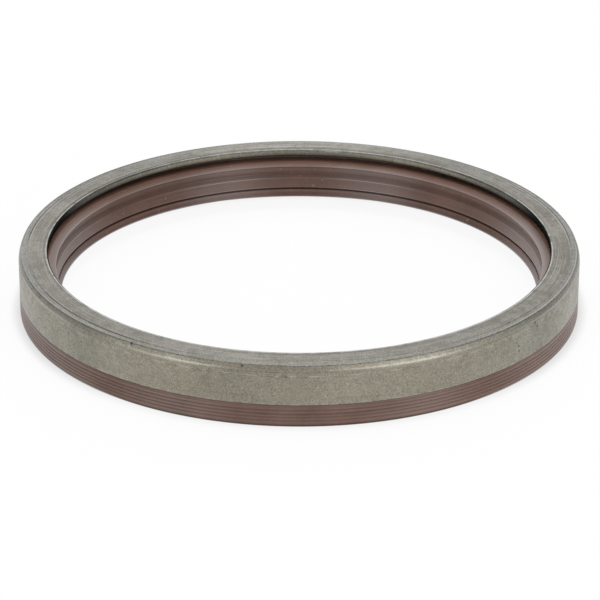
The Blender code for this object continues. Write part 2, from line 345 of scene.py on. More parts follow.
def lip_corners(s):
    """Dust lip, collar, crease, main lip, nose, spring groove and membrane of the rubber."""
    lip = s.outside_r - s.lip_section
    tip = lip + s.dust_growth
    collar = lip + s.collar_growth
    collar_low = collar - s.collar_taper
    z = lip_levels(s)
    air_r = lip + s.lip_air_face * math.tan(s.lip_air_angle)
    oil_r = lip + s.lip_oil_face * math.tan(s.lip_oil_angle)
    groove_r = s.coil / 2 + 0.00005
    spring_r, spring_z = spring_centre(s)
    groove = []
    for step in range(GROOVE_STEPS + 1):
        turn = math.pi + s.wrap * (1 - 2 * step / GROOVE_STEPS)
        groove.append(plain_corner(spring_r + groove_r * math.cos(turn),
                                   spring_z + groove_r * math.sin(turn)))
    low_r, low_z = groove[0][:2]
    high_r, high_z = groove[-1][:2]
    return [
        round_corner(tip + s.dust_reach, z.top, 0.0005, 4),
        round_corner(tip, z.tip_top, 0.00008, 3),
        round_corner(tip, z.tip_under, 0.00006, 2),
        round_corner(tip + s.undercut_depth, z.root, 0.00045, 6),
        round_corner(collar, z.collar_top, 0.00030, 6),
        round_corner(collar_low, z.crease_top, 0.00010, 3),
        round_corner(collar_low + s.crease_depth, z.crease_top, 0.00010, 3),
        round_corner(air_r + s.crease_depth, z.air_top, 0.00010, 3),
        round_corner(air_r, z.air_top, 0.00015, 3),
        round_corner(lip, s.lip_height, 0.00005, 2),
        round_corner(oil_r, s.lip_height - s.lip_oil_face, 0.0004, 5),
        round_corner(low_r + s.nose_lip / 2, low_z - s.nose_lip, 0.0002, 4),
        *groove,
        round_corner(high_r + s.shoulder_lip / 2, high_z + s.shoulder_lip, 0.0003, 4),
        round_corner(collar_low + s.membrane, high_z + 2 * s.shoulder_lip + s.nose_lip, 0.0008, 5),
        round_corner(collar + s.membrane, z.collar_top, 0.0010, 5),
    ]


def rubber_corners(s):
    """The whole moulding, from its foot round the outside and over the top to the lips."""
    top = s.case_foot - s.touch
    land_top = s.top - s.case_sheet - s.touch
    coat_r = s.outside_r - s.case_sheet - s.touch
    land_r = s.outside_r - s.flange_width + s.hem_length + s.hem_clearance
    rubber_top = lip_levels(s).top
    slot_r = RING_HIGH.x + s.touch
    slot_bore = RING_HIGH.x - s.ring_leg - s.touch
    slot_top = RING_HIGH.z + s.touch
    slot_under = RING_HIGH.z - s.ring_sheet - s.touch
    slot_foot = RING_LOW.z - s.touch
    coat_end = slot_bore + s.undercoat_width
    coat_under = slot_under - s.undercoat
    foot = RING_HIGH.x - s.ring_sheet - s.foot_wrap
    return (
        [round_corner(foot + s.foot_cut_width, 0.0, 0.0005, 4)]
        + band_corners(s, top)
        + [
            plain_corner(coat_r, top),
            round_corner(coat_r, land_top, 0.0003, 3),
            round_corner(land_r, land_top, 0.0003, 3),
            round_corner(land_r, rubber_top, s.land_fillet, 6),
        ]
        + lip_corners(s)
        + [
            round_corner(slot_bore, coat_under, 0.0006, 5),
            round_corner(coat_end, coat_under, 0.0003, 3),
            plain_corner(coat_end, slot_under),
            plain_corner(slot_bore, slot_under),
            plain_corner(slot_bore, slot_top),
            round_corner(slot_r, slot_top, s.ring_bend, 6),
            plain_corner(slot_r, slot_foot),
            plain_corner(foot, slot_foot),
            round_corner(foot, s.foot_cut_height, 0.0001, 2),
        ]
    )


def tangent_length(corners, index):
    """How far from a corner its rounding starts, limited by the sides that meet there."""
    here = Vector(corners[index][:2])
    back = Vector(corners[index - 1][:2]) - here
    ahead = Vector(corners[(index + 1) % len(corners)][:2]) - here
    half = back.angle(ahead) / 2
    wanted = corners[index][2] / math.tan(half)
    return min(wanted, 0.499 * back.length, 0.499 * ahead.length)


def swept(bm, steps, turns=1, rise=0.0):
    """Sweeps a wire section about the Z axis, for one turn or more, and returns what it makes."""
    mesh = bpy.data.meshes.new("section")
    bm.to_mesh(mesh)
    bm.free()
    holder = bpy.data.objects.new("section", mesh)
    bpy.context.scene.collection.objects.link(holder)
    screw = holder.modifiers.new("screw", "SCREW")
    screw.angle = math.tau
    screw.steps = steps
    screw.render_steps = steps
    screw.iterations = turns
    screw.screw_offset = rise
    screw.use_merge_vertices = turns == 1
    screw.merge_threshold = 0.000001
    made = bmesh.new()
    made.from_object(holder, bpy.context.evaluated_depsgraph_get())
    bpy.data.objects.remove(holder)
    bpy.data.meshes.remove(mesh)
    return made


def turned(name, corners, steps):
    """Draws a section, rounds its corners and sweeps it about the Z axis into a closed ring."""
    bm = bmesh.new()
    verts = [bm.verts.new((corner[0], 0.0, corner[1])) for corner in corners]
    bm.faces.new(verts)
    for index, vert in enumerate(verts):
        if corners[index][3]:
            bmesh.ops.bevel(bm, geom=[vert], offset=tangent_length(corners, index), offset_type="OFFSET",
                            affect="VERTICES", segments=corners[index][3], profile=0.5, material=-1)
    bmesh.ops.delete(bm, geom=bm.faces[:], context="FACES_ONLY")
    ring = swept(bm, steps)
    bmesh.ops.recalc_face_normals(ring, faces=ring.faces)
    return finished(name, ring)


def finished(name, bm, sharp=math.radians(38.0)):
    """Turns a bmesh into a smooth shaded object."""
    mesh = bpy.data.meshes.new(name)
    bm.to_mesh(mesh)
    bm.free()
    mesh.shade_smooth()
    mesh.set_sharp_from_angle(angle=sharp)
    made = bpy.data.objects.new(name, mesh)
    bpy.context.scene.collection.objects.link(made)
    return made


def coil_ring(name, s):
    """Winds the wire into a long close coil, then bends the coil into a ring."""
    spring_r, spring_z = spring_centre(s)
    turns = int(math.tau * spring_r / s.wire)
    bm = bmesh.new()
    place = Matrix.Translation((s.coil / 2 - s.wire / 2, 0, 0)) @ Matrix.Rotation(math.pi / 2, 4, "X")
    bmesh.ops.create_circle(bm, cap_ends=False, segments=WIRE_SEGMENTS, radius=s.wire * 0.49,
                             matrix=place)
    coil = swept(bm, COIL_STEPS, turns, math.tau * spring_r / turns)
    for vert in coil.verts:
        angle = vert.co.z / spring_r
        reach = spring_r + vert.co.x
        vert.co = (reach * math.cos(angle), reach * math.sin(angle), spring_z + vert.co.y)
    bmesh.ops.remove_doubles(coil, verts=coil.verts[:], dist=0.00002)
    bmesh.ops.recalc_face_normals(coil, faces=coil.faces)
    return finished(name, coil, math.radians(80.0))


def ruffle(made, amount, waves):
    """Gives a ring the slight unevenness of pressed sheet, by a slow noise round its axis."""
    for vert in made.data.vertices:
        flat = Vector((vert.co.x, vert.co.y, 0.0))
        place = flat.normalized() * waves + Vector((0.0, 0.0, vert.co.z * RUFFLE_RISE))
        push = noise.noise(place) * amount
        vert.co += flat.normalized() * push


class Recipe:
    """A node tree of a material or the room, with short calls for the nodes that the finishes share."""

    def __init__(self, owner, shader, coordinates):
        owner.use_nodes = True
        self.tree = owner.node_tree
        self.shader = self.tree.nodes[shader]
        self.position = self.node("ShaderNodeTexCoord").outputs[coordinates]

    def node(self, kind, inputs=None, **settings):
        """Adds a node, sets its settings and fills or links its inputs."""
        made = self.tree.nodes.new(kind)
        for key, value in settings.items():
            setattr(made, key, value)
        for key, value in (inputs or {}).items():
            if isinstance(value, bpy.types.NodeSocket):
                self.tree.links.new(value, made.inputs[key])
            else:
                made.inputs[key].default_value = value
        return made

    def math(self, operation, first, second=0.0, third=0.0, clamp=False):
        """A Math node's result."""
        return self.node("ShaderNodeMath", {0: first, 1: second, 2: third}, operation=operation,
                         use_clamp=clamp).outputs[0]

    def vector(self, operation, inputs, output=0):
        """A Vector Math node's result."""
        return self.node("ShaderNodeVectorMath", inputs, operation=operation).outputs[output]

    def parts(self, vector):
        """A vector's three numbers."""
        return self.node("ShaderNodeSeparateXYZ", {0: vector}).outputs

    def noise(self, vector, scale, detail=2.0, roughness=0.5, extra=None):
        """Noise on a vector, and on a fourth value too where one is given."""
        inputs = {"Vector": vector, "Scale": scale, "Detail": detail, "Roughness": roughness}
        if extra is not None:
            inputs["W"] = extra
        dimensions = "3D" if extra is None else "4D"
        return self.node("ShaderNodeTexNoise", inputs, noise_dimensions=dimensions).outputs["Fac"]

    def spread(self, value, low, high, to_low=0.0, to_high=1.0):
        """Maps a value's range smoothly to another one."""
        return self.node("ShaderNodeMapRange", {"Value": value, "From Min": low, "From Max": high,
                                                "To Min": to_low, "To Max": to_high},
                         interpolation_type="SMOOTHSTEP").outputs["Result"]

    def band(self, value, middle, half):
        """One at the middle of a band, falling to nothing at its edges."""
        away = self.math("ABSOLUTE", self.math("SUBTRACT", value, middle))
        return self.spread(away, half, 0.0)

    def joined(self, operation, values):
        """Some values joined one after another by a Math node's operation."""
        return reduce(lambda total, value: self.math(operation, total, value), values)

    def add(self, *values):
        """The sum of some values."""
        return self.joined("ADD", values)

    def product(self, *values):
        """The product of some values."""
        return self.joined("MULTIPLY", values)

    def most(self, *values):
        """The largest of some values."""
        return self.joined("MAXIMUM", values)

    def rest(self, value, share=1.0):
        """What is left of one when a share of a value is lost."""
        return self.weigh(value, -share, 1.0)

    def weigh(self, value, weight, shift=0.0):
        """A value times a weight, plus a shift."""
        return self.math("MULTIPLY_ADD", value, weight, shift)

    def blend(self, share, first, second):
        """Mixes two values."""
        return self.node("ShaderNodeMix", {0: share, 2: first, 3: second}).outputs[0]

    def mix(self, share, first, second):
        """Mixes two colours."""
        inputs = {0: share}
        for socket, value in ((6, first), (7, second)):
            inputs[socket] = value if isinstance(value, bpy.types.NodeSocket) else (*value, 1.0)
        return self.node("ShaderNodeMix", inputs, data_type="RGBA").outputs[2]

    def scaled(self, colour, factor):
        """A colour times a factor."""
        return self.vector("SCALE", {0: colour, 3: factor})

    def tinted(self, colour, share, tint):
        """A colour times a share of a tint."""
        return self.vector("MULTIPLY", {0: colour, 1: self.mix(share, NO_TINT, tint)})

    def shades(self, height, stops):
        """A grey that follows the height, through stops given in millimetres."""
        low, high = stops[0][0], stops[-1][0]
        share = self.math("DIVIDE", self.math("SUBTRACT", height, low / 1000), (high - low) / 1000)
        ramp = self.node("ShaderNodeValToRGB", {0: share})
        points = ramp.color_ramp.elements
        for index, (level, grey) in enumerate(stops):
            point = points[index] if index < 2 else points.new(1.0)
            point.position = (level - low) / (high - low)
            point.color = (grey, grey, grey, 1.0)
        return ramp.outputs[0]

    def bump(self, height, strength, distance):
        """Links a bump of the given height map to the shader."""
        made = self.node("ShaderNodeBump", {"Height": height, "Strength": strength, "Distance": distance})
        self.link(made.outputs[0], "Normal")

    def link(self, value, socket):
        """Links a value to one of the shader's sockets."""
        self.tree.links.new(value, self.shader.inputs[socket])

    def settle(self, socket, value):
        """Sets a constant on one of the shader's sockets."""
        self.shader.inputs[socket].default_value = value


class RingRecipe(Recipe):
    """A recipe for a ring about the Z axis, which knows where on the ring a point lies."""

    def __init__(self, owner, shader, coordinates):
        super().__init__(owner, shader, coordinates)
        parts = self.parts(self.position)
        flat = self.node("ShaderNodeCombineXYZ", {0: parts[0], 1: parts[1]}).outputs[0]
        self.height = parts[2]
        self.radius = self.vector("LENGTH", {0: flat}, "Value")
        self.turn = self.math("DEGREES", self.math("ARCTAN2", parts[1], parts[0]))
        self.direction = self.vector("NORMALIZE", {0: flat})
        shares = self.parts(self.direction)
        self.right = shares[0]
        self.back = shares[1]
        self.sides = self.math("ABSOLUTE", self.right)

    def patches(self, places):
        """The sum of soft patches round the ring, each with a direction, a half width and a share."""
        return self.add(*[self.weigh(self.band(self.turn, at, reach), share) for at, reach, share in places])

    def gloss(self, aside, patch, start, full, strength):
        """Gloss in a patch beside the middle of the front and the back, and at the two sides."""
        return self.most(self.band(aside, patch, GLOSS_REACH), self.spread(aside, start, full, 0.0, strength))


def finish(name, kind=Recipe):
    """A new material and its recipe."""
    material = bpy.data.materials.new(name)
    return material, kind(material, "Principled BSDF", "Object")


class CaseMasks:
    """Regions and noises of the steel case that its colours, rubs, dirt and painted light and shade share."""

    def __init__(self, r, s):
        self.rim_top = s.top - s.rim_step
        self.bevel_foot = self.rim_top - s.bevel_height
        self.rim_inner = s.outside_r - s.rim_width
        self.hem_r = s.outside_r - s.flange_width
        self.on_top = r.spread(r.height, self.rim_top - 0.0006, self.rim_top - 0.0002)
        self.on_wall = r.rest(self.on_top)
        self.on_rim = r.product(self.on_top, r.spread(r.radius, self.rim_inner, self.rim_inner + 0.0006))
        self.on_hem = r.spread(r.radius, self.hem_r + 0.0014, self.hem_r + 0.0006)
        # The fold's ends at the sides, which get painted shade
        self.hem_ends = r.product(r.spread(r.radius, self.hem_r + 0.0009, self.hem_r + 0.0005),
                                  r.spread(r.sides, 0.84, 0.97))
        self.behind = r.spread(r.back, 0.0, 0.5)
        # The rim's step at the sides, which gets a painted highlight and painted shade
        self.step_sides = r.product(r.spread(r.sides, 0.68, 0.80), r.spread(r.back, -0.06, 0.12))
        self.bevel_rubs_and_highlights = r.patches(BEVEL_RUBS_AND_HIGHLIGHTS)

        self.cloud = r.noise(r.position, 55.0, 4.0, 0.6)
        self.mottle = r.noise(r.position, 330.0, 3.0, 0.6)
        self.grain = r.noise(r.position, 1850.0, 3.0, 0.85)
        fine_rings = r.noise(r.direction, 2.2, 4.0, 0.7, r.product(r.radius, 1100.0))
        wide_rings = r.noise(r.direction, 1.7, 3.0, 0.6, r.product(r.radius, 620.0))
        hoops = r.noise(r.direction, 2.2, 3.0, 0.6, r.product(r.height, 900.0))
        rings = r.add(r.weigh(fine_rings, 0.5), r.weigh(wide_rings, 0.5))
        self.brushed = r.blend(self.on_top, hoops, rings)
        blotch = r.add(r.weigh(self.cloud, 0.28), r.weigh(self.mottle, 0.30))
        self.wall_tone = r.spread(r.add(blotch, r.weigh(self.brushed, 0.25)), 0.28, 0.55)
        self.top_tone = r.spread(r.add(blotch, r.weigh(self.brushed, 0.80)), 0.58, 0.80)


def case_colour(r, c, m):
    """Olive wall, greyer top face and smoother rim, before wear and dirt, with painted sheen on the sides of
    the wall and the rim and painted light and shade across the top face.
    """
    wall = r.mix(m.wall_tone, c.wall_dark[:], c.wall_light[:])
    wall = r.scaled(wall, r.rest(r.patches(DARK_WALL_PATCHES)))
    # Painted sheen on the wall's sides
    wall = r.tinted(wall, r.spread(r.sides, 0.35, 0.90), WALL_SIDE_SHEEN_TINT)
    face = r.mix(m.top_tone, c.face_dark[:], c.face_light[:])
    face = r.mix(r.product(m.on_rim, 0.6), face, c.rim_grey[:])
    # Painted sheen on the rim's sides
    face = r.tinted(face, r.product(m.on_rim, r.spread(r.sides, 0.75, 0.95)), RIM_SIDE_SHEEN_TINT)
    # Painted light and shade: the top face is lighter at the back and darker towards the sides and the back's
    # flanks
    face = r.scaled(face, r.add(r.weigh(r.sides, -0.20, 1.06), r.weigh(r.back, 0.085)))
    face = r.scaled(face, r.rest(r.product(r.band(r.sides, 0.64, 0.40), m.behind), 0.20))
    metal = r.mix(m.on_top, wall, face)
    contrast = r.blend(m.on_top, r.spread(r.sides, 0.75, 0.95, 2.1, 2.9), 3.1)
    return r.scaled(metal, r.weigh(m.grain, contrast, r.weigh(contrast, -0.5, 1.0)))


def case_painted_shade(r, s, m):
    """Painted light and shade: the share of its colour that the steel keeps, dark down the fold and at its
    ends, brighter on the fold's flanks, dark along the bevel's top corner and ends, and darker on top beside
    the fold.
    """
    fold = r.blend(m.on_hem, 1.0, r.shades(r.height, PAINTED_HEM_SHADES))
    sides_gain = r.spread(r.sides, 0.60, 0.85, 0.0, -0.20)
    fold_gain = r.add(r.weigh(r.band(r.sides, 0.42, 0.38), 0.36, 0.12), sides_gain)
    flank = r.product(r.spread(r.sides, 0.35, 0.75), m.behind)
    corner = r.product(r.band(r.radius, s.outside_r - s.bevel_width, r.weigh(m.behind, 0.0008, 0.0005)),
                       r.spread(r.height, m.rim_top - 0.0006, m.rim_top - 0.0003))
    bevel_ends = r.product(r.spread(r.height, m.bevel_foot, m.bevel_foot + 0.0006),
                           r.spread(r.sides, 0.70, 0.90), m.on_wall)
    reach = r.math("SUBTRACT", r.radius, r.weigh(r.right, -0.0004, 0.0013))
    roll = r.product(r.spread(reach, m.hem_r + 0.0003, m.hem_r - 0.0002), m.on_top, flank)
    shelf = r.product(r.spread(r.radius, m.hem_r + 0.0036, m.hem_r + 0.0026), m.on_top,
                      r.spread(r.back, 0.80, 0.95))
    return r.product(fold, r.weigh(r.product(m.on_hem, m.on_wall), fold_gain, 1.0),
                     r.weigh(corner, r.weigh(flank, -0.30, -0.28), 1.0), r.rest(m.hem_ends, 0.92),
                     r.rest(bevel_ends, 0.19), r.rest(roll, 0.40), r.rest(shelf, 0.20))


def case_rubs_and_highlights(r, s, m):
    """Where the case is lighter: painted highlights and rubs along the bevel's foot, a rubbed lower edge and
    wall line, painted highlights on the fold's edge, the step and the rim on top, and rubbed streaks and a
    scraped arc on top.
    """
    # Painted highlights with rubs along the bevel's foot, strongest where its patches lie
    bevel = r.product(r.band(r.height, m.bevel_foot + 0.0001, 0.0006), m.bevel_rubs_and_highlights)
    lower_edge = r.product(r.band(r.height, s.case_foot, 0.0007), r.spread(m.mottle, 0.45, 0.6, 0.05, 0.35))
    wall_line = r.product(r.band(r.height, s.wall_line, 0.00018), r.spread(m.mottle, 0.42, 0.58, 0.0, 0.5))
    # Painted highlight along the fold's top edge
    hem = r.product(r.band(r.radius, m.hem_r + 0.00062, 0.00036), r.spread(m.mottle, 0.36, 0.50, 0.35, 1.0),
                    r.rest(r.product(r.band(r.sides, 0.72, 0.22), m.behind), 0.8))
    traces = r.noise(r.direction, 2.6, 2.0, 0.5, r.weigh(r.radius, 560.0, 3.0))
    streaks = r.product(r.spread(traces, 0.63, 0.71, 0.0, 0.75), r.spread(r.back, -0.2, 0.5, 0.30, 1.0))
    arc = r.product(r.band(r.radius, s.arc_r, 0.0005), r.patches(ARC_PLACES), r.spread(m.mottle, 0.36, 0.48))
    # Painted highlight on the edge of the rim's step, at the sides
    step = r.product(r.band(r.radius, m.rim_inner - 0.00055, 0.0003), m.step_sides, 0.5)
    # Painted highlight near the rim's outer edge, at the sides
    rim = r.product(r.band(r.radius, s.outside_r - 0.0013, 0.0003), r.spread(r.sides, 0.55, 0.75),
                    r.spread(r.back, 0.05, -0.10), r.spread(r.right, -0.5, 0.5, 0.55, 1.0), 0.6)
    face = r.product(m.on_top, r.most(hem, streaks, arc, step, rim))
    return r.most(bevel, lower_edge, wall_line, face)


def case_soil_and_shade(r, s, m):
    """Where dirt lies: nicks, pits, the rim's step, above the fold and in the wall line; with painted shade
    in the step at the sides and under the bevel.
    """
    pits = r.spread(r.noise(r.position, 1900.0, 1.0, 0.5), 0.67, 0.75, 0.0, 0.6)
    step = r.product(r.band(r.radius, m.rim_inner, 0.00028), r.spread(m.cloud, 0.3, 0.5),
                     r.spread(r.patches(STEP_DIRT), 0.0, 0.4, 0.22, 0.95))
    # Painted shade: the step is darker still at the sides
    step = r.most(step, r.product(r.band(r.radius, m.rim_inner, 0.00042), m.step_sides))
    hem = r.product(r.band(r.radius, m.hem_r + 0.0014, 0.0006), 0.20)
    wall_line = r.product(r.band(r.height, s.wall_line - s.wall_line_soil, 0.00020),
                          r.spread(m.mottle, 0.40, 0.60, 0.45, 0.0))
    # Painted shade under the bevel, weaker where the bevel has painted highlights
    shade_under_bevel = r.product(r.band(r.height, m.bevel_foot - 0.0003, 0.0003),
                            r.math("SUBTRACT", 0.35, m.bevel_rubs_and_highlights, clamp=True))
    outer = r.spread(r.radius, s.outside_r - 0.0015, s.outside_r - 0.0010, 0.0, 0.85)
    nicks = r.product(nick_spots(r, s, r.spread(m.mottle, 0.3, 0.7, 0.6, 1.6)), outer)
    return r.most(nicks, pits, r.product(m.on_top, r.most(step, hem)), wall_line, shade_under_bevel)


def nick_spots(r, s, unevenness):
    """One in each nick of the case and nothing elsewhere."""
    spots = []
    for degrees, level, size in NICKS:
        across = r.product(r.math("SUBTRACT", r.turn, degrees), s.outside_r * math.radians(1.0))
        rise = r.math("SUBTRACT", r.height, level / 1000)
        place = r.node("ShaderNodeCombineXYZ", {0: across, 1: rise}).outputs[0]
        away = r.product(r.vector("LENGTH", {0: place}, "Value"), unevenness)
        spots.append(r.spread(away, size / 1000, size / 3000))
    return r.most(*spots)


def case_finish(s, c):
    """Dull stamped steel: olive wall, greyer face, smoother rim, painted shade in the fold and along edges,
    painted highlights with rubbed edges, nicks and dirt.
    """
    material, r = finish("worn_case_steel", RingRecipe)
    m = CaseMasks(r, s)
    rub_and_highlight = case_rubs_and_highlights(r, s, m)
    soil_and_shade = case_soil_and_shade(r, s, m)
    metal = r.mix(rub_and_highlight, r.scaled(case_colour(r, c, m), case_painted_shade(r, s, m)), c.steel_rub_and_highlight[:])
    r.link(r.mix(soil_and_shade, metal, c.steel_soil_and_shade[:]), "Base Color")
    tone = r.blend(m.on_top, m.wall_tone, m.top_tone)
    polish = r.add(r.weigh(rub_and_highlight, 0.10), r.weigh(r.band(r.height, m.bevel_foot + 0.0002, 0.0010), 0.12))
    r.link(r.math("SUBTRACT", r.spread(tone, 0.0, 1.0, 0.46, 0.36), polish), "Roughness")
    # The fold's ends lose their metal look, which darkens them further as painted shade
    r.link(r.rest(m.hem_ends), "Metallic")
    r.settle("Specular IOR Level", 0.0)
    relief = r.add(r.weigh(m.grain, 0.6), r.weigh(m.brushed, 0.4))
    r.bump(r.math("SUBTRACT", relief, soil_and_shade), 0.4, 0.00008)
    return material


class RubberMasks:
    """Regions and noises of the rubber that its colours, its gloss and its painted light and shade share."""

    def __init__(self, r, s):
        self.levels = lip_levels(s)
        self.hem_r = s.outside_r - s.flange_width
        self.inside = r.spread(r.radius, s.outside_r - 0.0015, s.outside_r - 0.0025)
        # Painted light: the inside is made lighter towards the right
        self.tilt = r.product(self.inside, r.right)
        cycle = math.tau / s.rib_pitch
        self.ripple = r.math("COSINE", r.weigh(r.height, cycle, -cycle * (s.rib_start + s.rib_groove / 2)))
        # Painted shade along the foot of the ribbed band
        self.foot = r.rest(r.band(r.height, 0.0007, 0.0005), 0.65)

        # Painted shade: the pocket under the fold is darkened, most at the sides, and the right end of the
        # inside a little
        tip_top = self.levels.tip_top
        pocket = r.product(r.spread(r.radius, self.hem_r + 0.0012, self.hem_r + 0.0028),
                           r.spread(r.height, tip_top + 0.0001, tip_top + 0.0005), self.inside)
        depth = r.add(r.spread(r.sides, 0.2, 0.8, 0.0, 0.42), r.spread(r.sides, 0.88, 0.97, 0.0, 0.50))
        right_end = r.product(r.band(r.radius, self.hem_r - 0.0006, 0.0016), r.spread(r.right, 0.94, 0.98),
                              self.inside)
        self.painted_daylight = r.math("SUBTRACT", r.rest(right_end, 0.36), r.product(pocket, depth))

        slope = r.add(r.product(r.height, 1500.0), r.product(r.radius, 900.0))
        self.rings = r.noise(r.direction, 1.6, 3.0, 0.6, slope)
        self.grain = r.noise(r.position, 1700.0, 3.0, 0.8)
        cloud = r.noise(r.position, 70.0, 4.0, 0.6)
        self.tone = r.add(r.weigh(self.rings, 0.40), r.weigh(cloud, 0.40), r.weigh(self.grain, 0.35))


def rubber_colour(r, s, c, m):
    """Brown of the rubber with painted light and shade: dark hollows and rib grooves, lighter edges and rib
    crowns, a cool shade and a pale strip of floor light at the foot, and warm light on the ledge above the
    dust lip.
    """
    base = r.mix(r.spread(m.tone, 0.42, 0.73), c.rubber_dark[:], c.rubber_light[:])
    # Painted shade: rib grooves darker than the crowns, the foot darker still
    ribs = r.product(r.weigh(m.ripple, -0.05, 0.85), m.foot)
    # Painted light and shade by height inside, the ribs' shading outside
    shade = r.blend(m.inside, ribs, r.shades(r.height, PAINTED_LIP_SHADES))
    base = r.scaled(base, r.weigh(shade, LIGHTEST_SHADE))
    # Painted cool shade at the foot, turning into painted floor light at the sides
    contact = r.product(r.spread(r.sides, 0.45, 0.70), r.spread(r.sides, 0.99, 0.93))
    foot_shade_and_light = r.product(r.spread(r.weigh(contact, -0.0005, r.height), 0.0006, 0.0003), r.rest(m.inside))
    base = r.mix(r.product(foot_shade_and_light, 0.6), base, r.mix(contact, c.rubber_foot_shade[:], c.floor_light[:]))
    base = r.tinted(base, r.product(m.inside, 0.8), INSIDE_TINT)
    top = m.levels.top
    # Painted light that lifts the ledge under the fold
    ledge = r.product(r.spread(r.height, top - 0.0001, top - 0.00002),
                      r.spread(r.radius, m.hem_r + 0.0030, m.hem_r + 0.0006), m.inside)
    base = r.tinted(base, ledge, r.mix(r.spread(r.sides, 0.5, 0.8), LEDGE_LIGHT_TINT, LEDGE_SIDE_LIGHT_TINT))
    # Painted light towards the right inside, and painted shade in the pocket
    return r.scaled(base, r.product(r.weigh(m.tilt, 0.10, 1.0), m.painted_daylight))


def rubber_bloom_and_highlights(r, s, m, gloss):
    """Pale specks of bloom inside, and painted highlights as pale lines on the edges of the dust lip, collar,
    crease and lip.
    """
    specks = r.noise(r.position, 900.0, 2.0, 0.5)
    patch = r.noise(r.position, 55.0, 2.0, 0.5)
    bloom = r.product(r.spread(specks, 0.66, 0.74), r.spread(patch, 0.46, 0.60, 0.0, 0.45))
    dust_lip = r.product(r.band(r.height, m.levels.tip_under + 0.0001, 0.00030),
                         r.spread(r.radius, m.hem_r - 0.0011, m.hem_r - 0.0016),
                         r.spread(r.sides, 0.35, 0.60))
    highlight_lines = r.most(r.band(r.height, m.levels.collar_top + 0.0001, 0.00022),
                   r.band(r.height, m.levels.crease_top + 0.00016, 0.00018),
                   r.band(r.height, s.lip_height, 0.00040), dust_lip)
    return r.product(m.inside, r.most(bloom, r.product(highlight_lines, r.weigh(gloss, 0.45, 0.14))))


def rubber_finish(s, c):
    """Smooth moulded rubber: painted light on the lip edges and rib crowns, painted shade in the hollows,
    pale bloom and a soft gloss.
    """
    material, r = finish("brown_moulded_rubber", RingRecipe)
    m = RubberMasks(r, s)
    aside = r.math("ABSOLUTE", r.math("SUBTRACT", r.math("ABSOLUTE", r.turn), 90.0))
    ends = r.spread(aside, 64.0, 80.0, 0.0, 0.8)
    gloss = r.blend(m.inside, r.add(r.gloss(aside, *OUTER_GLOSS), ends), r.gloss(aside, *INNER_GLOSS))
    crowns = r.blend(m.inside, r.product(r.weigh(m.ripple, -0.30, 0.66), m.foot), 1.0)
    shine = r.product(r.weigh(gloss, r.weigh(m.inside, 0.12, 0.60), 0.24), crowns)
    tip_under = m.levels.tip_under
    dust_lip = r.product(m.inside, r.spread(r.height, tip_under - 0.0001, tip_under + 0.0001, 0.0, 0.62))
    shine = r.product(r.add(shine, dust_lip), m.painted_daylight, r.weigh(m.tilt, 0.22, 0.95))

    base = r.mix(rubber_bloom_and_highlights(r, s, m, gloss), rubber_colour(r, s, c, m), c.rubber_bloom_and_highlights[:])
    # Painted highlight along the lip's edge at the sides
    lip_highlight_mask = r.product(r.band(r.height, s.lip_height, 0.0006), r.spread(r.sides, 0.35, 0.60, 0.0, 0.6),
                       m.inside)
    r.link(r.mix(lip_highlight_mask, base, c.lip_highlight[:]), "Base Color")
    r.link(r.spread(m.tone, 0.35, 0.85, 0.38, 0.50), "Roughness")
    r.link(shine, "Specular IOR Level")
    r.bump(r.add(m.rings, r.product(m.grain, 0.5)), 0.2, 0.00006)
    return material


def ring_finish(c):
    """Phosphated sheet steel with a dry grey bloom."""
    material, r = finish("phosphated_steel")
    cloud = r.noise(r.position, 160.0, 4.0, 0.6)
    grain = r.noise(r.position, 2200.0, 3.0, 0.6)
    tone = r.add(r.product(cloud, 0.6), r.product(grain, 0.4))
    dark = [0.55 * part for part in c.ring_grey]
    r.link(r.mix(r.spread(tone, 0.35, 0.65), dark, c.ring_grey[:]), "Base Color")
    r.link(r.spread(tone, 0.3, 0.7, 0.62, 0.45), "Roughness")
    r.settle("Metallic", 0.8)
    r.bump(grain, 0.3, 0.00005)
    return material


def wire_finish(c):
    """Drawn spring wire with a film of oil and darker patches."""
    material, r = finish("drawn_spring_wire")
    cloud = r.noise(r.position, 300.0, 3.0, 0.6)
    dark = [0.6 * part for part in c.wire_grey]
    r.link(r.mix(r.spread(cloud, 0.35, 0.65), dark, c.wire_grey[:]), "Base Color")
    r.link(r.spread(cloud, 0.3, 0.7, 0.38, 0.24), "Roughness")
    r.settle("Metallic", 1.0)
    return material


def dress(made, material, node):
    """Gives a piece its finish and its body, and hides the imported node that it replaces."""
    made.data.materials.append(material)
    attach(made, "root")
    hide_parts(node)


class SEAL_OT_case(bpy.types.Operator):
    """Model the stamped steel case"""
    bl_idname = "seal.case"
    bl_label = "Steel Case"

    def execute(self, context):
        sizes = context.scene.seal_sizes
        made = turned("case_shell", case_corners(sizes), sizes.around)
        ruffle(made, 0.00004, 6.0)
        dress(made, case_finish(sizes, context.scene.seal_colours), "steel_case")
        return {"FINISHED"}


class SEAL_OT_rubber(bpy.types.Operator):
    """Model the moulded rubber with its ribs and lips"""
    bl_idname = "seal.rubber"
    bl_label = "Moulded Rubber"

    def execute(self, context):
        sizes = context.scene.seal_sizes
        made = turned("rubber_moulding", rubber_corners(sizes), sizes.around)
        dress(made, rubber_finish(sizes, context.scene.seal_colours), "rubber_seal")
        return {"FINISHED"}


class SEAL_OT_ring(bpy.types.Operator):
    """Model the steel ring that the rubber is moulded on"""
    bl_idname = "seal.ring"
    bl_label = "Support Ring"

    def execute(self, context):
        sizes = context.scene.seal_sizes
        made = turned("moulded_in_ring", ring_corners(sizes), sizes.around)
        dress(made, ring_finish(context.scene.seal_colours), "support_ring")
        return {"FINISHED"}


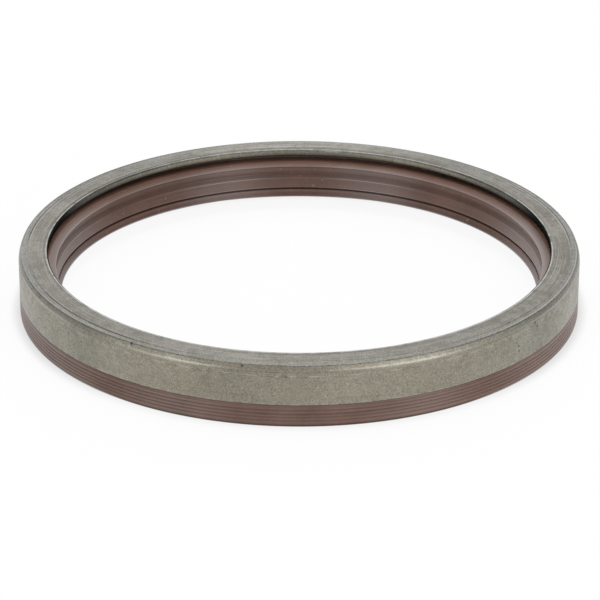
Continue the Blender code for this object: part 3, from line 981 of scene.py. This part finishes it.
class SEAL_OT_spring(bpy.types.Operator):
    """Wind the garter spring turn by turn"""
    bl_idname = "seal.spring"
    bl_label = "Garter Spring"

    def execute(self, context):
        made = coil_ring("wound_spring", context.scene.seal_sizes)
        dress(made, wire_finish(context.scene.seal_colours), "garter_spring")
        return {"FINISHED"}


def floor_finish(settings):
    """White acrylic that is lit from below too, with a painted contact shadow: a dimmer glow close round the
    seal.
    """
    material, r = finish("lit_acrylic", RingRecipe)
    # Painted contact shadow, stronger at the sides
    near = r.product(r.band(r.radius, settings.shadow_r, settings.shadow_reach),
                     r.spread(r.sides, 0.55, 0.98, 0.30, 1.0))
    painted_shadow = r.product(near, settings.floor_shadow)
    r.settle("Base Color", (settings.floor_shade,) * 3 + (1.0,))
    r.settle("Roughness", 0.9)
    r.settle("Specular IOR Level", 0.0)
    r.settle("Emission Color", WHITE)
    r.link(r.weigh(painted_shadow, -settings.floor_glow, settings.floor_glow), "Emission Strength")
    return material


def room_light(settings):
    """An even room that is brighter behind the seal and above, with low windows behind the camera."""
    room = bpy.data.worlds.new("studio_room")
    r = Recipe(room, "Background", "Generated")
    parts = r.parts(r.position)
    glow = r.spread(parts[1], 0.30, 0.75, settings.room, settings.room + settings.backdrop)
    glow = r.add(glow, r.spread(parts[2], 0.60, 0.95, 0.0, settings.ceiling))
    front = r.product(r.spread(parts[1], -0.45, -0.75), r.band(parts[2], 0.26, 0.30))
    glow = r.add(glow, r.weigh(front, settings.front))
    for degrees, power in WINDOWS:
        turn = math.radians(degrees)
        towards = (math.cos(turn) * math.cos(WINDOW_RISE), math.sin(turn) * math.cos(WINDOW_RISE),
                   math.sin(WINDOW_RISE))
        near = r.vector("DOT_PRODUCT", {0: r.position, 1: towards}, "Value")
        glow = r.add(glow, r.spread(near, math.cos(WINDOW_EDGE), math.cos(WINDOW_CORE), 0.0,
                                    settings.window * power))
    r.link(glow, "Strength")
    r.settle("Color", WHITE)
    return room


def soft_light(name, place, target, size, power):
    """A square area light that looks at a point."""
    light = bpy.data.lights.new(name, "AREA")
    light.shape = "SQUARE"
    light.size = size
    light.energy = power
    made = bpy.data.objects.new(name, light)
    bpy.context.scene.collection.objects.link(made)
    aim = (Vector(place) - Vector(target)).to_track_quat("Z", "Y")
    made.matrix_world = Matrix.Translation(place) @ aim.to_matrix().to_4x4()
    return made


class SEAL_OT_studio(bpy.types.Operator):
    """Lay the floor, hang the lights and set the camera"""
    bl_idname = "seal.studio"
    bl_label = "Studio"

    def execute(self, context):
        scene = context.scene
        settings = scene.seal_studio
        bm = bmesh.new()
        bmesh.ops.create_grid(bm, x_segments=1, y_segments=1, size=8.0)
        floor = finished("studio_floor", bm)
        floor.data.materials.append(floor_finish(settings))
        scene.world = room_light(settings)
        soft_light("side_light", (0.66, -0.66, 0.80), (0, 0, 0), 0.5, settings.side_power)
        soft_light("top_light", (0.0, 0.1, 1.1), (0, 0, 0), 0.5, settings.top_power)

        tilt = settings.tilt
        back = Vector((0.0, -math.cos(tilt), math.sin(tilt)))
        level = Vector((1.0, 0.0, 0.0))
        rise = back.cross(level)
        right = level * math.cos(settings.roll) + rise * math.sin(settings.roll)
        up = rise * math.cos(settings.roll) - level * math.sin(settings.roll)
        place = back * settings.distance + right * settings.slide + up * settings.lift
        camera = bpy.data.cameras.new("photo_camera")
        camera.sensor_width = 36.0
        camera.lens = settings.lens
        camera.clip_start = 0.01
        camera.clip_end = 100.0
        made = bpy.data.objects.new("photo_camera", camera)
        scene.collection.objects.link(made)
        turn = Matrix((right, up, back)).transposed().to_4x4()
        made.matrix_world = Matrix.Translation(place) @ turn
        scene.camera = made
        scene.view_settings.view_transform = "Standard"
        return {"FINISHED"}


class SEAL_PT_panel(bpy.types.Panel):
    """Lists the seal's pieces and sizes"""
    bl_idname = "SEAL_PT_panel"
    bl_label = "Oil Seal"
    bl_space_type = "VIEW_3D"
    bl_region_type = "UI"
    bl_category = "Oil Seal"

    def draw(self, context):
        for operator in OPERATORS:
            self.layout.operator(operator.bl_idname)
        for group in (context.scene.seal_sizes, context.scene.seal_colours, context.scene.seal_studio):
            column = self.layout.column()
            for name in group.bl_rna.properties.keys():
                if name not in ("rna_type", "name"):
                    column.prop(group, name)


OPERATORS = (SEAL_OT_case, SEAL_OT_rubber, SEAL_OT_ring, SEAL_OT_spring, SEAL_OT_studio)
CLASSES = (SealSizes, SealColours, StudioSettings, *OPERATORS, SEAL_PT_panel)


def register():
    for kind in CLASSES:
        bpy.utils.register_class(kind)
    bpy.types.Scene.seal_sizes = PointerProperty(type=SealSizes)
    bpy.types.Scene.seal_colours = PointerProperty(type=SealColours)
    bpy.types.Scene.seal_studio = PointerProperty(type=StudioSettings)


def unregister():
    del bpy.types.Scene.seal_studio
    del bpy.types.Scene.seal_colours
    del bpy.types.Scene.seal_sizes
    for kind in reversed(CLASSES):
        bpy.utils.unregister_class(kind)


def main():
    """Registers the classes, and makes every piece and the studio."""
    register()
    bpy.ops.seal.case()
    bpy.ops.seal.rubber()
    bpy.ops.seal.ring()
    bpy.ops.seal.spring()
    bpy.ops.seal.studio()


if __name__ == "__main__":
    main()
